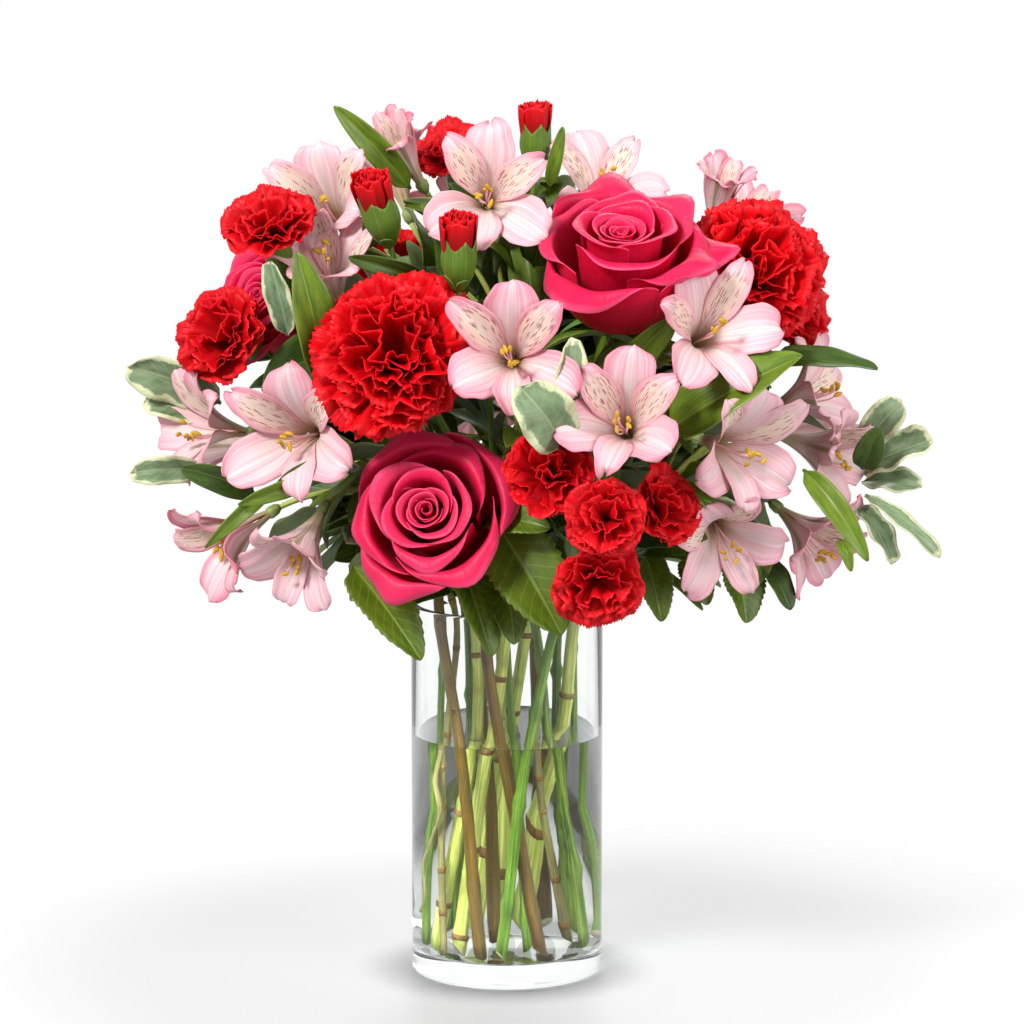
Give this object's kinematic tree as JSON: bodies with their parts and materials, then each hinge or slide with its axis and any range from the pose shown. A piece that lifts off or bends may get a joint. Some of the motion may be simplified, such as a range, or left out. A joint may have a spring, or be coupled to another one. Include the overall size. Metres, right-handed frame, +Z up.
{
  "type": "mixed bouquet in a glass vase",
  "caption": "Clear glass cylinder vase of water holding a rounded bouquet of roses, carnations, spray carnations, alstroemeria and variegated greenery.",
  "frame": {"origin": "middle of the vase's underside", "axes": "+Z up, -Y towards the bouquet's front, +X to the right seen from the front"},
  "size_m": [0.4037, 0.3098, 0.4699],
  "materials": {
    "clear_glass": "clear, polished",
    "water": "clear liquid",
    "rose_petals": "velvety hot pink petals, paler at the rims",
    "carnation_petals": "matte crimson ruffled petals",
    "spray_petals": "matte red ruffled petals",
    "calyx": "smooth green with red petal tips",
    "lily_petals": "satin pale pink petals with darker tips and maroon dashes",
    "rose_stems": "green-brown bark with dark green leaves",
    "carnation_stems": "waxy grey-green",
    "spray_stems": "waxy mid green",
    "lily_stems": "smooth pale green with leafy sheaths",
    "greenery": "woody twigs with grey-green leaves edged in cream"
  },
  "bodies": {
    "root": {"vase": "clear_glass", "water": "water", "rose_front": "rose_petals", "rose_upper": "rose_petals", "rose_left": "rose_petals", "rose_back": "rose_petals", "carnation_center": "carnation_petals", "carnation_right": "carnation_petals", "carnation_back": "carnation_petals", "spray_left_upper": "spray_petals", "spray_left_lower": "spray_petals", "spray_center": "spray_petals", "spray_front": "spray_petals", "spray_front_right": "spray_petals", "spray_front_low": "spray_petals", "spray_top": "spray_petals", "spray_right_low": "spray_petals", "spray_back": "spray_petals", "bud_left": "calyx", "bud_top": "calyx", "bud_center": "calyx", "lily_left": "lily_petals", "lily_far_left": "lily_petals", "lily_low_far_left": "lily_petals", "lily_low_left": "lily_petals", "lily_center": "lily_petals", "lily_front_right": "lily_petals", "lily_right": "lily_petals", "lily_right_lower": "lily_petals", "lily_low_right": "lily_petals", "lily_low_far_right": "lily_petals", "lily_far_right_lower": "lily_petals", "lily_far_right_upper": "lily_petals", "lily_top": "lily_petals", "lily_top_right": "lily_petals", "lily_left_inner": "lily_petals", "lily_left_upper": "lily_petals", "lily_back": "lily_petals", "lily_back_right": "lily_petals", "lily_back_left": "lily_petals", "lily_back_top": "lily_petals", "lily_far_right": "lily_petals", "rose_front_stem": "rose_stems", "rose_upper_stem": "rose_stems", "rose_left_stem": "rose_stems", "rose_back_stem": "rose_stems", "carnation_center_stem": "carnation_stems", "carnation_right_stem": "carnation_stems", "carnation_back_stem": "carnation_stems", "spray_left_stem": "spray_stems", "spray_front_stem": "spray_stems", "spray_top_stem": "spray_stems", "spray_back_stem": "spray_stems", "lily_left_stem": "lily_stems", "lily_center_stem": "lily_stems", "lily_right_stem": "lily_stems", "lily_top_stem": "lily_stems", "lily_back_stem": "lily_stems", "greenery_left_stem": "greenery", "greenery_right_stem": "greenery"}
  },
  "joints": []
}
